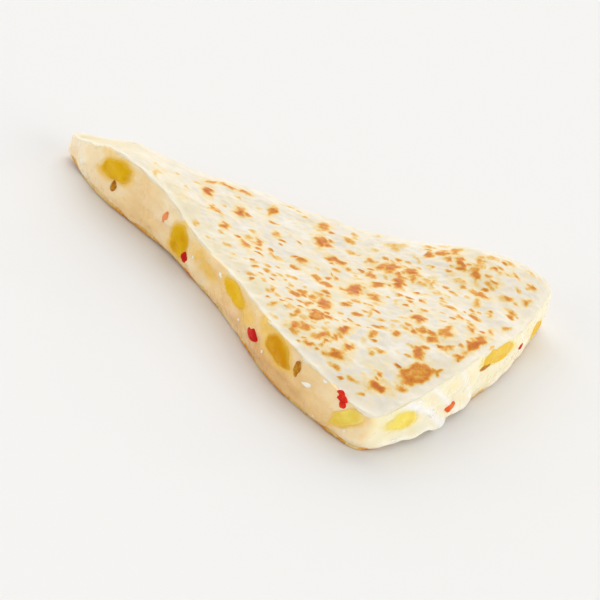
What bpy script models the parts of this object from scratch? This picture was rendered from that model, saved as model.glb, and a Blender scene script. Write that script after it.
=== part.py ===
"""A quesadilla wedge: two flour tortillas with melted cheese and chunks of green chile between them.

Metres, +Z up.  The wedge lies flat with its tip towards -X and its round outer edge towards +X.
It is worked out with the meeting point of its two cut lines at the origin, and moved at the end
so that the origin is at the middle of its footprint, on the surface that it rests on.
"""

import math

import bpy
import numpy as np

# Driving dimensions
RADIUS = 0.125              # tip to outer edge: half of a 10 inch tortilla
HALF_ANGLE = math.radians(20.5)
OUTER_ROUNDNESS = 0.75      # 1 is the edge of a full circle, 0 is a straight edge
CORNER_SHARPNESS = 19.0
TORTILLA = 0.0015           # thickness of one tortilla
GAP = 0.0003                # between pieces that touch
BASE_HEIGHT = 0.0094        # of the whole wedge, away from its lumps
RIM_ROUND = 0.0035          # width over which the top turns down at the edge
RIM_DROP = 0.0007
EDGE_ROUND = 0.0004         # rounding of a tortilla's cut edge
FILLING_BULGE = 0.0007      # how far the filling stands proud of the tortillas' edge
CHILE_PROUD = 0.0009        # how far a chunk of chile stands out of the tortillas' edge
CHILE_SEAT = 0.0016         # from the edge in to a chunk's widest section

MIDDLE = np.array((0.078, 0.0))     # the rings of the mesh shrink towards this point
AROUND = 76                         # mesh steps round the wedge
RINGS = 7                           # mesh steps from its middle to its edge
CHILE_AROUND = 12
CHILE_RINGS = 7

# Lumps in the top (x, y, spread, height): chile and cheese lift it, and the tip is pinched
LUMPS = (
    (0.000, 0.000, 0.008, -0.0045),
    (0.020, -0.014, 0.012, 0.0060),
    (0.036, -0.016, 0.008, 0.0030),
    (0.028, 0.012, 0.009, -0.0020),
    (0.058, 0.020, 0.012, -0.0015),
    (0.066, -0.027, 0.014, 0.0020),
    (0.092, -0.036, 0.014, 0.0035),
    (0.118, -0.006, 0.018, 0.0055),
    (0.104, 0.037, 0.012, 0.0050),
)

# Where the underside curls up off the surface (x, y, spread, height)
LIFTS = (
    (0.000, 0.000, 0.0060, 0.0018),
    (0.042, -0.019, 0.0070, 0.0010),
    (0.126, -0.012, 0.0070, 0.0008),
    (0.060, 0.026, 0.0060, 0.0008),
)
LIFT_FROM = 0.0003          # lower lifts than this are pressed flat

# Bows of the two cut lines (place along the cut, spread, amount outwards)
FRONT_BOWS = ((0.00, 0.05, 0.0006), (0.15, 0.08, 0.0025), (0.44, 0.11, -0.0010), (0.79, 0.11, 0.0042))
BACK_BOWS = ((0.00, 0.05, 0.0008), (0.30, 0.12, 0.0012), (0.66, 0.10, -0.0010))

# Chunks of green chile at the edge: edge, place along it, size along the edge and into the wedge,
# then the middle, the size and the slant up through the filling, as shares of its depth there
CHILES = (
    ("front", 0.182, 0.0100, 0.0100, 0.68, 0.44, -0.05),
    ("front", 0.388, 0.0065, 0.0090, 0.56, 0.68, 0.00),
    ("front", 0.595, 0.0115, 0.0090, 0.70, 0.38, 0.05),
    ("front", 0.765, 0.0095, 0.0110, 0.69, 0.44, 0.00),
    ("front", 0.935, 0.0070, 0.0060, 0.55, 0.44, -0.12),
    ("outer", 0.115, 0.0115, 0.0070, 0.58, 0.44, 0.08),
    ("outer", 0.540, 0.0150, 0.0110, 0.66, 0.52, -0.04),
    ("outer", 0.840, 0.0090, 0.0080, 0.42, 0.60, 0.05),
    ("back", 0.240, 0.0110, 0.0090, 0.52, 0.60, 0.00),
    ("back", 0.550, 0.0090, 0.0080, 0.48, 0.64, 0.05),
    ("back", 0.840, 0.0130, 0.0100, 0.56, 0.66, -0.05),
)

# Colour and roughness of each material
LOOKS = {
    "tortilla": ((0.86, 0.79, 0.66, 1.0), 0.75),
    "cheese": ((0.86, 0.72, 0.46, 1.0), 0.35),
    "green_chile": ((0.62, 0.45, 0.05, 1.0), 0.30),
}


def humps(x, y, table):
    """Sum of round bell-shaped humps: height * exp(-distance^2 / (2 spread^2))."""
    return sum(
        high * np.exp(-((x - px) ** 2 + (y - py) ** 2) / (2 * spread**2))
        for px, py, spread, high in table
    )


def bow(along, table):
    """Sum of bell-shaped bows along a cut line."""
    return sum(out * np.exp(-((along - place) ** 2) / (2 * spread**2)) for place, spread, out in table)


def lift(x, y):
    """Height of the underside, which is flat but for the places where it curls up."""
    return np.maximum(humps(x, y, LIFTS) - LIFT_FROM, 0.0)


def height(x, y):
    """Height of the top of the wedge."""
    return BASE_HEIGHT + humps(x, y, LUMPS) + lift(x, y)


def edge_point(edge, along):
    """Point on an edge and the direction out of it; along is 0 at the tip or at the front corner."""
    along = np.asarray(along, dtype=float)
    if edge == "outer":
        angle = HALF_ANGLE * (2 * along - 1)
        straight = math.cos(HALF_ANGLE)
        x = RADIUS * (straight + OUTER_ROUNDNESS * (np.cos(angle) - straight))
        y = RADIUS * np.sin(angle)
        lean = angle * OUTER_ROUNDNESS
        return np.stack((x, y), -1), np.stack((np.cos(lean), np.sin(lean)), -1)
    side = -1 if edge == "front" else 1
    run = np.array((math.cos(HALF_ANGLE), side * math.sin(HALF_ANGLE)))
    out = np.array((-math.sin(HALF_ANGLE), side * math.cos(HALF_ANGLE)))
    reach = bow(along, FRONT_BOWS if edge == "front" else BACK_BOWS)
    return RADIUS * along[..., None] * run + reach[..., None] * out, out + 0 * along[..., None]


def ray_length(angle, edge):
    """Distance from the middle to an edge, extended past its ends, along the ray at each angle."""
    point, _ = edge_point(edge, np.linspace(-0.35, 1.35, 1200))
    spoke = point - MIDDLE
    seen = np.unwrap(np.arctan2(spoke[:, 1], spoke[:, 0]))
    far = np.hypot(spoke[:, 0], spoke[:, 1])
    order = np.argsort(seen)
    half_turn = math.pi
    centre = 0.5 * (seen[0] + seen[-1])
    near = (angle - centre + half_turn) % (2 * half_turn) - half_turn + centre
    return np.interp(near, seen[order], far[order], left=np.inf, right=np.inf)


def outline(steps):
    """The wedge's outline, and the direction out of it, at steps round it.

    Along each ray from the middle, the distance is a smooth minimum of the distances to the
    three edges, (sum of distance^-p)^(-1/p), which rounds the corners.  The steps share out
    the outline's length and its turning, so that they are closer at the corners.
    """
    angle = np.linspace(0, 2 * math.pi, 2880, endpoint=False)
    inverse = sum(ray_length(angle, edge) ** -CORNER_SHARPNESS for edge in ("front", "outer", "back"))
    far = inverse ** (-1 / CORNER_SHARPNESS)
    point = MIDDLE + far[:, None] * np.stack((np.cos(angle), np.sin(angle)), -1)
    run = np.roll(point, -1, axis=0) - point
    length = np.hypot(run[:, 0], run[:, 1])
    heading = np.arctan2(run[:, 1], run[:, 0])
    turn = np.abs((heading - np.roll(heading, 1) + math.pi) % (2 * math.pi) - math.pi)
    share = np.append(0, np.cumsum(length / length.sum() + 0.6 * turn / turn.sum()))
    even = np.linspace(0, share[-1], steps, endpoint=False)
    closed = np.vstack((point, point[:1]))
    placed = np.stack([np.interp(even, share, closed[:, i]) for i in (0, 1)], -1)
    tangent = np.roll(placed, -1, axis=0) - np.roll(placed, 1, axis=0)
    out = np.stack((tangent[:, 1], -tangent[:, 0]), -1)
    return placed, out / np.linalg.norm(out, axis=1, keepdims=True)


def rings(rim, surface):
    """Loops of points on a surface z = surface(x, y, depth), from near the middle out to the rim."""
    shares = np.linspace(0, 1, RINGS + 1)[1:] ** 0.6
    loops = []
    for share in shares:
        flat = MIDDLE + share * (rim - MIDDLE)
        depth = np.linalg.norm(rim - flat, axis=1) * math.sin(2 * HALF_ANGLE)
        loops.append(np.column_stack((flat, surface(flat[:, 0], flat[:, 1], depth))))
    return loops


def side(rim, out, low, high, profile):
    """Loops up the side between two rim loops; profile gives (share of the height, reach outwards)."""
    loops = []
    for share, reach in profile:
        z = low[:, 2] + share * (high[:, 2] - low[:, 2])
        loops.append(np.column_stack((rim + reach * out, z)))
    return loops


def closed_stack(loops):
    """Join loops of equal length in order, and close the first and the last with a point each.

    A four-sided patch is split along its shorter diagonal in plan, so that two surfaces above
    each other are split alike and keep their distance.
    """
    count = len(loops[0])
    verts = np.vstack(loops + [loops[0].mean(axis=0), loops[-1].mean(axis=0)])
    step = np.arange(count)
    after = (step + 1) % count
    last = (len(loops) - 1) * count
    faces = [np.column_stack((step * 0 + len(verts) - 2, after, step))]
    for base in range(0, last, count):
        a, b = base + step, base + after
        c, d = b + count, a + count
        one = np.linalg.norm(verts[a, :2] - verts[c, :2], axis=1)
        other = np.linalg.norm(verts[b, :2] - verts[d, :2], axis=1)
        short = (one < other)[:, None]
        faces.append(np.where(short, np.column_stack((a, b, c)), np.column_stack((a, b, d))))
        faces.append(np.where(short, np.column_stack((a, c, d)), np.column_stack((b, c, d))))
    faces.append(np.column_stack((step * 0 + len(verts) - 1, last + step, last + after)))
    return verts, np.vstack(faces)


def sheet(rim, out, under, over, profile):
    """A closed sheet between two surfaces, with a side of the given profile."""
    lower = rings(rim, under)
    upper = rings(rim, over)
    middle = side(rim, out, lower[-1], upper[-1], profile)
    inset = EDGE_ROUND * out
    lower[-1][:, :2] -= inset
    upper[-1][:, :2] -= inset
    return closed_stack(lower + middle + upper[::-1])


def tortilla_bottom(rim, out):
    def under(x, y, depth):
        return lift(x, y)

    def over(x, y, depth):
        return lift(x, y) + TORTILLA

    return sheet(rim, out, under, over, ((0.25, 0.0), (0.75, 0.0)))


def tortilla_top(rim, out):
    def under(x, y, depth):
        return height(x, y) - TORTILLA

    def over(x, y, depth):
        return height(x, y) - RIM_DROP * np.exp(-((depth / RIM_ROUND) ** 2))

    return sheet(rim, out, under, over, ((0.25, 0.0), (0.7, 0.0)))


def filling(rim, out):
    def under(x, y, depth):
        return lift(x, y) + TORTILLA + GAP

    def over(x, y, depth):
        return height(x, y) - TORTILLA - GAP

    bulge = [(share, FILLING_BULGE * math.sin(math.pi * share)) for share in (0.12, 0.35, 0.65, 0.88)]
    return sheet(rim, out, under, over, bulge)


def chile(number, grow=0.0):
    """A chunk of chile cut through by the edge: an uneven ellipsoid, blunt on its outer side.

    Its height follows the filling's own depth, so that it stays between the two tortillas.
    """
    edge, along, wide, deep, up, tall, slant = CHILES[number]
    flat, out = edge_point(edge, along)
    run = np.array((out[1], -out[0]))
    around = np.linspace(0, 2 * math.pi, CHILE_AROUND, endpoint=False)
    loops = []
    for polar in np.linspace(0, math.pi, CHILE_RINGS + 1)[1:-1]:
        wave = 1 + 0.07 * np.sin(2 * around + 1.3 * number) * math.sin(polar) ** 2
        wave += 0.04 * np.cos(3 * around + 2.1 * number + 2 * polar)
        sideways = wave * np.cos(around) * math.sin(polar)
        outwards = wave * np.sin(around) * math.sin(polar)
        loops.append(np.column_stack((sideways, outwards, -wave * math.cos(polar))))
    ball, faces = closed_stack(loops)
    reach = np.where(ball[:, 1] > 0, CHILE_SEAT + CHILE_PROUD + grow, deep - CHILE_SEAT + grow)
    x, y = (flat - CHILE_SEAT * out + np.outer(ball[:, 0] * (wide / 2 + grow), run)
            + np.outer(ball[:, 1] * reach, out)).T
    low = lift(x, y) + TORTILLA + GAP
    high = height(x, y) - TORTILLA - GAP
    z = low + (up + slant * ball[:, 0]) * (high - low) + ball[:, 2] * (tall * (high - low) / 2 + grow)
    return np.column_stack((x, y, z)), faces


def material(kind):
    """The plain finish of one kind of food."""
    made = bpy.data.materials.get(kind) or bpy.data.materials.new(kind)
    made.use_nodes = True
    shader = made.node_tree.nodes["Principled BSDF"]
    colour, roughness = LOOKS[kind]
    shader.inputs["Base Color"].default_value = colour
    shader.inputs["Roughness"].default_value = roughness
    shader.inputs["Metallic"].default_value = 0.0
    made.diffuse_color = colour
    return made


def solid(name, shape, origin, kind):
    """An object with the given closed shape, moved so that the wedge's own origin is at zero."""
    verts, faces = shape
    mesh = bpy.data.meshes.new(name)
    mesh.from_pydata((verts - origin).tolist(), [], faces.tolist())
    mesh.shade_smooth()
    mesh.materials.append(material(kind))
    made = bpy.data.objects.new(name, mesh)
    bpy.context.scene.collection.objects.link(made)
    return made


def joined(shapes):
    """Several closed shapes that don't touch, as one set of points and faces."""
    starts = np.cumsum([0] + [len(verts) for verts, _ in shapes[:-1]])
    verts = np.vstack([verts for verts, _ in shapes])
    return verts, np.vstack([faces + start for (_, faces), start in zip(shapes, starts)])


def main():
    for old in list(bpy.data.objects):
        bpy.data.objects.remove(old, do_unlink=True)

    rim, out = outline(AROUND)
    chiles = [chile(number) for number in range(len(CHILES))]
    layers = {
        "tortilla_bottom": (tortilla_bottom(rim, out), "tortilla"),
        "cheese_filling": (filling(rim, out), "cheese"),
        "tortilla_top": (tortilla_top(rim, out), "tortilla"),
    }
    points = np.vstack([shape[0] for shape, _ in layers.values()] + [shape[0] for shape in chiles])
    low, high = points.min(axis=0), points.max(axis=0)
    origin = np.array(((low[0] + high[0]) / 2, (low[1] + high[1]) / 2, low[2]))

    made = {name: solid(name, shape, origin, kind) for name, (shape, kind) in layers.items()}
    for number, shape in enumerate(chiles):
        solid(f"green_chile_{number + 1}", shape, origin, "green_chile")

    pockets = solid("chile_pockets", joined([chile(n, GAP) for n in range(len(CHILES))]), origin, "cheese")
    pockets.hide_render = True
    pockets.display_type = "WIRE"
    cut = made["cheese_filling"].modifiers.new("pockets", "BOOLEAN")
    cut.operation = "DIFFERENCE"
    cut.object = pockets
    cut.solver = "EXACT"


main()
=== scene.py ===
"""A griddled quesadilla wedge: browned flour tortillas, melted cheese, green chile and red pepper.

The wedge's shape is worked out with the meeting point of its two cut lines at the origin, as its
solids are, and is then moved to where the frame's solids lie.  Metres, +Z up.
"""

import math

import bpy
import numpy as np
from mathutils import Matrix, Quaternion, Vector


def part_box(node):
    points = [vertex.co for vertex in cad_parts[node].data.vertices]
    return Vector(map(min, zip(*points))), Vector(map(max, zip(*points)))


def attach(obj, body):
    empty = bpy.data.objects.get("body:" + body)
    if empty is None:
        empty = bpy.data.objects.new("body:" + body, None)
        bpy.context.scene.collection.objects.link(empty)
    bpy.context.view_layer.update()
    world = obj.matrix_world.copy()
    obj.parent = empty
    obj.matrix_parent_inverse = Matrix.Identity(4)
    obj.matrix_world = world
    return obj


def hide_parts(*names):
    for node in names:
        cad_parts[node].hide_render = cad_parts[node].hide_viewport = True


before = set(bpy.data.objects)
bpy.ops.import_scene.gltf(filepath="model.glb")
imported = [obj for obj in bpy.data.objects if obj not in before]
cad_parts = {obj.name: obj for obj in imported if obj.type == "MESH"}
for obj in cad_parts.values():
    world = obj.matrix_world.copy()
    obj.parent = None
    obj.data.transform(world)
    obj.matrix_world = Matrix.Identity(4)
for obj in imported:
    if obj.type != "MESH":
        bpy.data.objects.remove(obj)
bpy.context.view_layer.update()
MM = 0.001

# ---------------------------------------------------------------- the wedge's sizes
RADIUS = 125 * MM
HALF_ANGLE = math.radians(20.5)
OUTER_ROUNDNESS = 0.75
CORNER_SHARPNESS = 19.0
TORTILLA = 1.5 * MM
BASE_HEIGHT = 9.4 * MM
RIM_ROUND = 3.5 * MM
RIM_DROP = 0.7 * MM
FILLING_BULGE = 0.7 * MM
MIDDLE = np.array((78, 0)) * MM

# Lumps in the top, in mm: x, y, spread, height
LUMPS = (
    (0, 0, 8, -4.5),
    (20, -14, 12, 6),
    (36, -16, 8, 3),
    (28, 12, 9, -2),
    (58, 20, 12, -1.5),
    (66, -27, 14, 2),
    (92, -36, 14, 3.5),
    (118, -6, 18, 5.5),
    (104, 37, 12, 5),
)
# Places where the underside curls up, in mm: x, y, spread, height
LIFTS = ((0, 0, 6, 1.8), (42, -19, 7, 1.0), (126, -12, 7, 0.8), (60, 26, 6, 0.8))
LIFT_FROM = 0.3 * MM
# Bows of the cut lines: place along the cut, spread, amount outwards in mm
FRONT_BOWS = ((0.00, 0.05, 0.6), (0.15, 0.08, 2.5), (0.44, 0.11, -1.0), (0.79, 0.11, 4.2))
BACK_BOWS = ((0.00, 0.05, 0.8), (0.30, 0.12, 1.2), (0.66, 0.10, -1.0))


def humps(x, y, table):
    """Sum of bell-shaped humps, height * exp(-distance^2 / (2 spread^2)), from a table in mm."""
    total = np.zeros(np.broadcast(x, y).shape)
    for px, py, spread, high in table:
        far = (x / MM - px) ** 2 + (y / MM - py) ** 2
        total += high * MM * np.exp(-far / (2 * spread**2))
    return total


def lift(x, y):
    """Height of the underside: flat, but for where it curls up."""
    return np.maximum(humps(x, y, LIFTS) - LIFT_FROM, 0)


def height(x, y):
    """Height of the smooth top."""
    return BASE_HEIGHT + humps(x, y, LUMPS) + lift(x, y)


def edge_point(edge, along):
    """Point on an edge and the direction out of it; along is 0 at the tip or at the front corner."""
    along = np.asarray(along, dtype=float)
    if edge == "outer":
        angle = HALF_ANGLE * (2 * along - 1)
        straight = math.cos(HALF_ANGLE)
        x = RADIUS * (straight + OUTER_ROUNDNESS * (np.cos(angle) - straight))
        y = RADIUS * np.sin(angle)
        lean = angle * OUTER_ROUNDNESS
        return np.stack((x, y), -1), np.stack((np.cos(lean), np.sin(lean)), -1)
    sign = -1 if edge == "front" else 1
    run = np.array((math.cos(HALF_ANGLE), sign * math.sin(HALF_ANGLE)))
    out = np.array((-math.sin(HALF_ANGLE), sign * math.cos(HALF_ANGLE)))
    reach = sum(
        amount * MM * np.exp(-((along - place) ** 2) / (2 * spread**2))
        for place, spread, amount in (FRONT_BOWS if edge == "front" else BACK_BOWS)
    )
    return RADIUS * along[..., None] * run + reach[..., None] * out, out + 0 * along[..., None]


def ray_length(angle, edge):
    """Distance from the middle to an edge, extended past its ends, along the ray at each angle."""
    spoke = edge_point(edge, np.linspace(-0.35, 1.35, 1200))[0] - MIDDLE
    seen = np.unwrap(np.arctan2(spoke[:, 1], spoke[:, 0]))
    order = np.argsort(seen)
    centre = 0.5 * (seen[0] + seen[-1])
    near = (angle - centre + math.pi) % (2 * math.pi) - math.pi + centre
    far = np.hypot(spoke[:, 0], spoke[:, 1])
    return np.interp(near, seen[order], far[order], left=np.inf, right=np.inf)


def smooth_outline():
    """The outline as a fine closed line, with each point's direction out of it.

    Along each ray from the middle the distance is a smooth minimum of the distances to the
    three edges, (sum of distance^-p)^(-1/p), which rounds the corners.
    """
    angle = np.linspace(0, 2 * math.pi, 5760, endpoint=False)
    inverse = sum(ray_length(angle, edge) ** -CORNER_SHARPNESS for edge in ("front", "outer", "back"))
    far = inverse ** (-1 / CORNER_SHARPNESS)
    point = MIDDLE + far[:, None] * np.stack((np.cos(angle), np.sin(angle)), -1)
    run = np.roll(point, -1, axis=0) - point
    share = np.append(0, np.cumsum(np.hypot(run[:, 0], run[:, 1])))
    even = np.linspace(0, share[-1], 4000, endpoint=False)
    closed = np.vstack((point, point[:1]))
    point = np.stack([np.interp(even, share, closed[:, i]) for i in (0, 1)], -1)
    tangent = np.roll(point, -5, axis=0) - np.roll(point, 5, axis=0)
    out = np.stack((tangent[:, 1], -tangent[:, 0]), -1)
    return point, out / np.linalg.norm(out, axis=1, keepdims=True), share[-1]


OUTLINE, OUTWARDS, GIRTH = smooth_outline()


def rim_at(around):
    """Outline point and outward direction at shares of the girth, by linear interpolation."""
    place = (np.asarray(around) % 1.0) * len(OUTLINE)
    first = np.floor(place).astype(int) % len(OUTLINE)
    rest = (place - np.floor(place))[..., None]
    after = (first + 1) % len(OUTLINE)
    return (OUTLINE[first] * (1 - rest) + OUTLINE[after] * rest,
            OUTWARDS[first] * (1 - rest) + OUTWARDS[after] * rest)


def around_of(edge, along):
    """Share of the girth that lies nearest to a place on an edge."""
    point, _ = edge_point(edge, along)
    return np.argmin(((OUTLINE - point) ** 2).sum(axis=1)) / len(OUTLINE)


ORIGIN = np.array((
    0.5 * (OUTLINE[:, 0].min() + OUTLINE[:, 0].max()),
    0.5 * (OUTLINE[:, 1].min() + OUTLINE[:, 1].max()),
    0.0,
))
box_low, box_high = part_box("tortilla_bottom")
ORIGIN[:2] -= 0.5 * (np.array(box_low) + np.array(box_high))[:2]


# ---------------------------------------------------------------- waves, meshes
def waves(points, longest, shortest, seed, count=48):
    """Smooth unevenness of about unit size: a sum of sine waves in random directions.

    Wavelengths run from longest to shortest in even ratios, and longer waves are stronger.
    """
    rng = np.random.default_rng(seed)
    points = np.asarray(points)
    way = rng.normal(size=(count, points.shape[-1]))
    way /= np.linalg.norm(way, axis=1, keepdims=True)
    length = longest * (shortest / longest) ** np.linspace(0, 1, count)
    size = length**0.7
    size /= math.sqrt((size**2).sum() / 2)
    phase = rng.uniform(0, 2 * math.pi, count)
    total = np.zeros(points.shape[:-1])
    for k in range(count):
        total += size[k] * np.sin(points @ (way[k] * 2 * math.pi / length[k]) + phase[k])
    return total


def smoothstep(low, high, value):
    """0 below low, 1 above high, and a smooth cubic between."""
    t = np.clip((value - low) / (high - low), 0, 1)
    return t * t * (3 - 2 * t)


def shell(name, loops, material, fields=None, slot=None):
    """A closed mesh from loops of points, rows x steps x 3, with both ends closed by a point.

    The loops start at the top's middle, so that faces point outwards.  fields are values on
    the same grid, stored as attributes.
    """
    rows, steps, _ = loops.shape
    points = np.vstack((loops.reshape(-1, 3), loops[0].mean(axis=0), loops[-1].mean(axis=0)))
    row, step = np.meshgrid(np.arange(rows - 1), np.arange(steps), indexing="ij")
    after = (step + 1) % steps
    a, b = row * steps + step, (row + 1) * steps + step
    c, d = (row + 1) * steps + after, row * steps + after
    quads = np.stack((a, b, c, d), -1).reshape(-1, 4)
    ring = np.arange(steps)
    nxt = (ring + 1) % steps
    first = np.stack((ring * 0 + rows * steps, ring, nxt), -1)
    base = (rows - 1) * steps
    last = np.stack((ring * 0 + rows * steps + 1, base + nxt, base + ring), -1)
    mesh = raw_mesh(name, points, (first, quads, last), material)
    for field, values in (fields or {}).items():
        flat = np.append(values.reshape(-1), (values[0].mean(), values[-1].mean()))
        layer = mesh.attributes.new(field, "FLOAT", "POINT")
        layer.data.foreach_set("value", flat.astype(np.float32))
    return place(name, mesh, slot)


def raw_mesh(name, points, face_groups, material):
    """A smooth-shaded mesh from an array of points and arrays of three- or four-sided faces."""
    mesh = bpy.data.meshes.new(name)
    mesh.vertices.add(len(points))
    mesh.vertices.foreach_set("co", (points - ORIGIN).astype(np.float32).ravel())
    loops = np.concatenate([faces.ravel() for faces in face_groups])
    sizes = np.concatenate([np.full(len(faces), faces.shape[1]) for faces in face_groups])
    mesh.loops.add(len(loops))
    mesh.loops.foreach_set("vertex_index", loops.astype(np.int32))
    mesh.polygons.add(len(sizes))
    mesh.polygons.foreach_set("loop_start", (np.cumsum(sizes) - sizes).astype(np.int32))
    mesh.update(calc_edges=True)
    mesh.shade_smooth()
    mesh.materials.append(material)
    return mesh


def place(name, mesh, slot):
    """Put a mesh into the scene as a piece that rides on the wedge's one body."""
    piece = bpy.data.objects.new(name, mesh)
    bpy.context.scene.collection.objects.link(piece)
    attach(piece, "root")
    return piece


# ---------------------------------------------------------------- browning
# Spots that stand out on the top, in mm and degrees: x, y, length, width, turn, depth of browning
MAIN_SPOTS = (
    (36, 9.2, 3.4, 2.6, 60, 0.75), (40.3, 11, 4.8, 2, 10, 0.85), (43.7, 13, 2.8, 2.2, 30, 0.8),
    (39, 3.2, 4.8, 2, -62, 1.05), (49.4, 2.7, 4, 2, -58, 0.95), (51.6, 3.2, 2.2, 1.8, -50, 0.8),
    (53.5, 11.5, 4.6, 1.5, -72, 0.8), (53.8, 19.3, 2.4, 1.6, 0, 0.6), (57, 18.7, 2.2, 1.2, 0, 0.4),
    (65.2, 17.5, 4.6, 2.7, -75, 0.7), (69, 10, 5.4, 2.2, -62, 0.9), (71.2, 10, 2.4, 2, -20, 0.75),
    (60.7, 2.4, 3.4, 1.9, -65, 0.55), (62.8, 5.5, 1.7, 1, -60, 0.35), (60.8, -5.7, 4.8, 1.7, -50, 0.75),
    (59.5, -10, 5.2, 1.9, -38, 0.8), (66.3, -7.9, 3.8, 1.4, -35, 0.6), (44.9, -3.5, 4, 1.6, -70, 0.7),
    (47, -3.4, 3.2, 1.5, -30, 0.6), (51.6, -7.3, 3, 2, -55, 0.8), (36.6, -3, 2.6, 1.5, -50, 0.45),
    (26.6, -2.8, 3, 1.2, -60, 0.30), (31, -9.5, 6.8, 1.6, -62, 0.4), (47.6, -14.4, 2.7, 1.8, -60, 0.45),
    (72.3, -3.8, 2.8, 2, -75, 0.75), (81, -2.8, 2.2, 1.5, -60, 0.8), (78.6, -7.4, 2.8, 2.1, -30, 0.75),
    (81.6, -7.9, 3.4, 1.9, -10, 0.85), (87.6, -4.5, 5.6, 3, -80, 1.0), (85.5, -6.6, 2.4, 1.8, 0, 0.7),
    (93, -4, 3.6, 2.6, -50, 0.8), (96.4, -12, 5, 1.2, -62, 0.55), (86.8, -17.3, 5.8, 2.8, -58, 0.9),
    (83.6, -17, 2.2, 1.3, -60, 0.6), (84.8, -21.5, 2.8, 1.5, -65, 0.7), (96.6, -24, 4.4, 1.7, 85, 0.95),
    (93, -26.3, 2, 1.4, -45, 0.45), (101.9, -20, 3, 1.4, -75, 0.65), (105, -26, 3.2, 1.2, -55, 0.4),
    (105.2, -15.3, 2.6, 1.7, -40, 0.75), (105.3, -5.3, 3.7, 2.5, -60, 0.95), (107.5, -11.5, 2.5, 1.8, -50, 0.85),
    (108.8, -9.5, 3.4, 1.4, -75, 0.65), (113, -5, 6, 2.3, -78, 0.75), (112.5, -11, 2.8, 1.8, 90, 0.8),
    (116.8, -10.8, 3.8, 1.9, 80, 0.6), (120, -3.5, 9.5, 2.1, -86, 0.9), (120.5, -11.8, 3, 1.2, 90, 0.7),
    (113, -17.8, 4.3, 2.2, -60, 0.85), (119.2, -19.3, 2, 1.4, 60, 0.7), (113, -34.7, 4, 2.6, 35, 1.1),
    (110.2, -31, 1.8, 1.4, 0, 0.4), (107.8, -37.8, 2.6, 1.6, -10, 0.55), (100.9, -29.3, 2.9, 2.3, -60, 0.9),
    (100.6, -34.3, 4, 2.4, 25, 0.9), (94.6, -31.2, 4.6, 1.8, 70, 0.85), (97.3, -28.5, 2.8, 1.4, -80, 0.75),
    (97, -33, 4, 1.2, 80, 0.7), (94.8, -36.3, 3, 1.6, 0, 0.85), (90.5, -31.3, 2.2, 1.8, 0, 0.75),
    (88.2, -32.7, 3.6, 2.7, 55, 0.85), (85.8, -28.3, 3.9, 1.6, -85, 0.65), (79.8, -28.8, 3.2, 1.8, 60, 0.6),
    (81, -25, 1.8, 1.2, -60, 0.5), (76.3, -24, 2.2, 1.4, -50, 0.55), (82.3, -33, 3, 1.2, -30, 0.4),
    (77, 4.8, 4.8, 2.1, -12, 0.95), (82, 12.3, 2.7, 2.3, -60, 0.75), (85.4, 12, 5.2, 2.3, 80, 0.75),
    (87.4, 13.4, 6.2, 2.5, -80, 0.85), (91.6, 15.5, 3.8, 2.8, -60, 0.85), (93.6, 13.2, 4.6, 1.7, -62, 0.7),
    (90.5, 11.5, 3.5, 2, -50, 0.85), (92.6, 7.8, 5.4, 2.1, -70, 1.0), (89.6, 3, 4.8, 2, 75, 0.85),
    (85.7, 6.2, 3.6, 1.7, -65, 0.8), (83.5, 2.5, 3.4, 1.2, -60, 0.4), (98.1, 14.5, 4.6, 1.4, -62, 0.6),
    (98.8, 7.5, 2.8, 1.3, 60, 0.4), (97, -1.3, 2.2, 1.2, -50, 0.45), (94.5, 31.5, 4.2, 2.5, -70, 0.7),
    (93, 29.3, 2.8, 1.6, -30, 0.6), (88.5, 29, 2.4, 1.6, -40, 0.55), (81.5, 23.5, 4.2, 2, 30, 0.45),
    (83.3, 25.3, 2, 1.4, 30, 0.4), (89.3, 22, 2.8, 1.2, -35, 0.4), (73.6, 19, 2.6, 1.8, 0, 0.4),
    (76, 26, 2, 1.7, -60, 0.45), (98.8, 26.6, 5, 1.9, -45, 0.85), (103.9, 25, 4.5, 1.8, -50, 0.85),
    (106.2, 30.5, 2.6, 1.8, 0, 0.9), (108.5, 26.5, 3, 1.6, 0, 0.8), (101.6, 31, 2.8, 2, -40, 0.55),
    (103, 34.5, 3, 2, 0, 0.5), (102.6, 20, 3.4, 2.3, 0, 0.45), (108.9, 19.2, 3.8, 2.2, 15, 0.8),
    (110.1, 15.3, 3.8, 1.6, -75, 0.6), (115, 13, 2.3, 1.4, -60, 0.5), (112.3, 10, 2, 1.4, 0, 0.4),
    (119.3, 6, 3.1, 1.4, -75, 0.65), (111.5, 4, 3.3, 1.7, -60, 0.8), (116, 1, 3.6, 1.7, -60, 0.75),
    (114, 24, 3.6, 1.9, 30, 0.7), (118, 19, 2.6, 1.4, 80, 0.55), (111, 33, 3.4, 1.7, -20, 0.6),
    (115.5, 34, 2.2, 1.6, 50, 0.75), (107, 36.5, 3, 1.4, 10, 0.5), (117.5, 28, 2.8, 1.5, 75, 0.6),
    (112.5, 38.5, 2.6, 1.4, 0, 0.45), (120.5, 12, 3.2, 1.4, 85, 0.6),
)
# Spots that are darker round their rims
RING_SPOTS = ((89.2, -24.5, 5, 2.9, -65, 0.95), (110.3, -17, 2.4, 1.2, -20, 0.6), (116.3, -24, 8.4, 5, 68, 0.9))
SPREAD = 1.06
# Where small flecks gather, in mm: x, y, spread, share of the places that are browned
CROWDS = (
    (86, -22, 12, 0.30), (90, 9, 9, 0.30), (112, -8, 12, 0.32), (104, 26, 12, 0.26),
    (60, -4, 10, 0.16), (96, -31, 8, 0.25), (76, -20, 9, 0.25),
)


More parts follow.
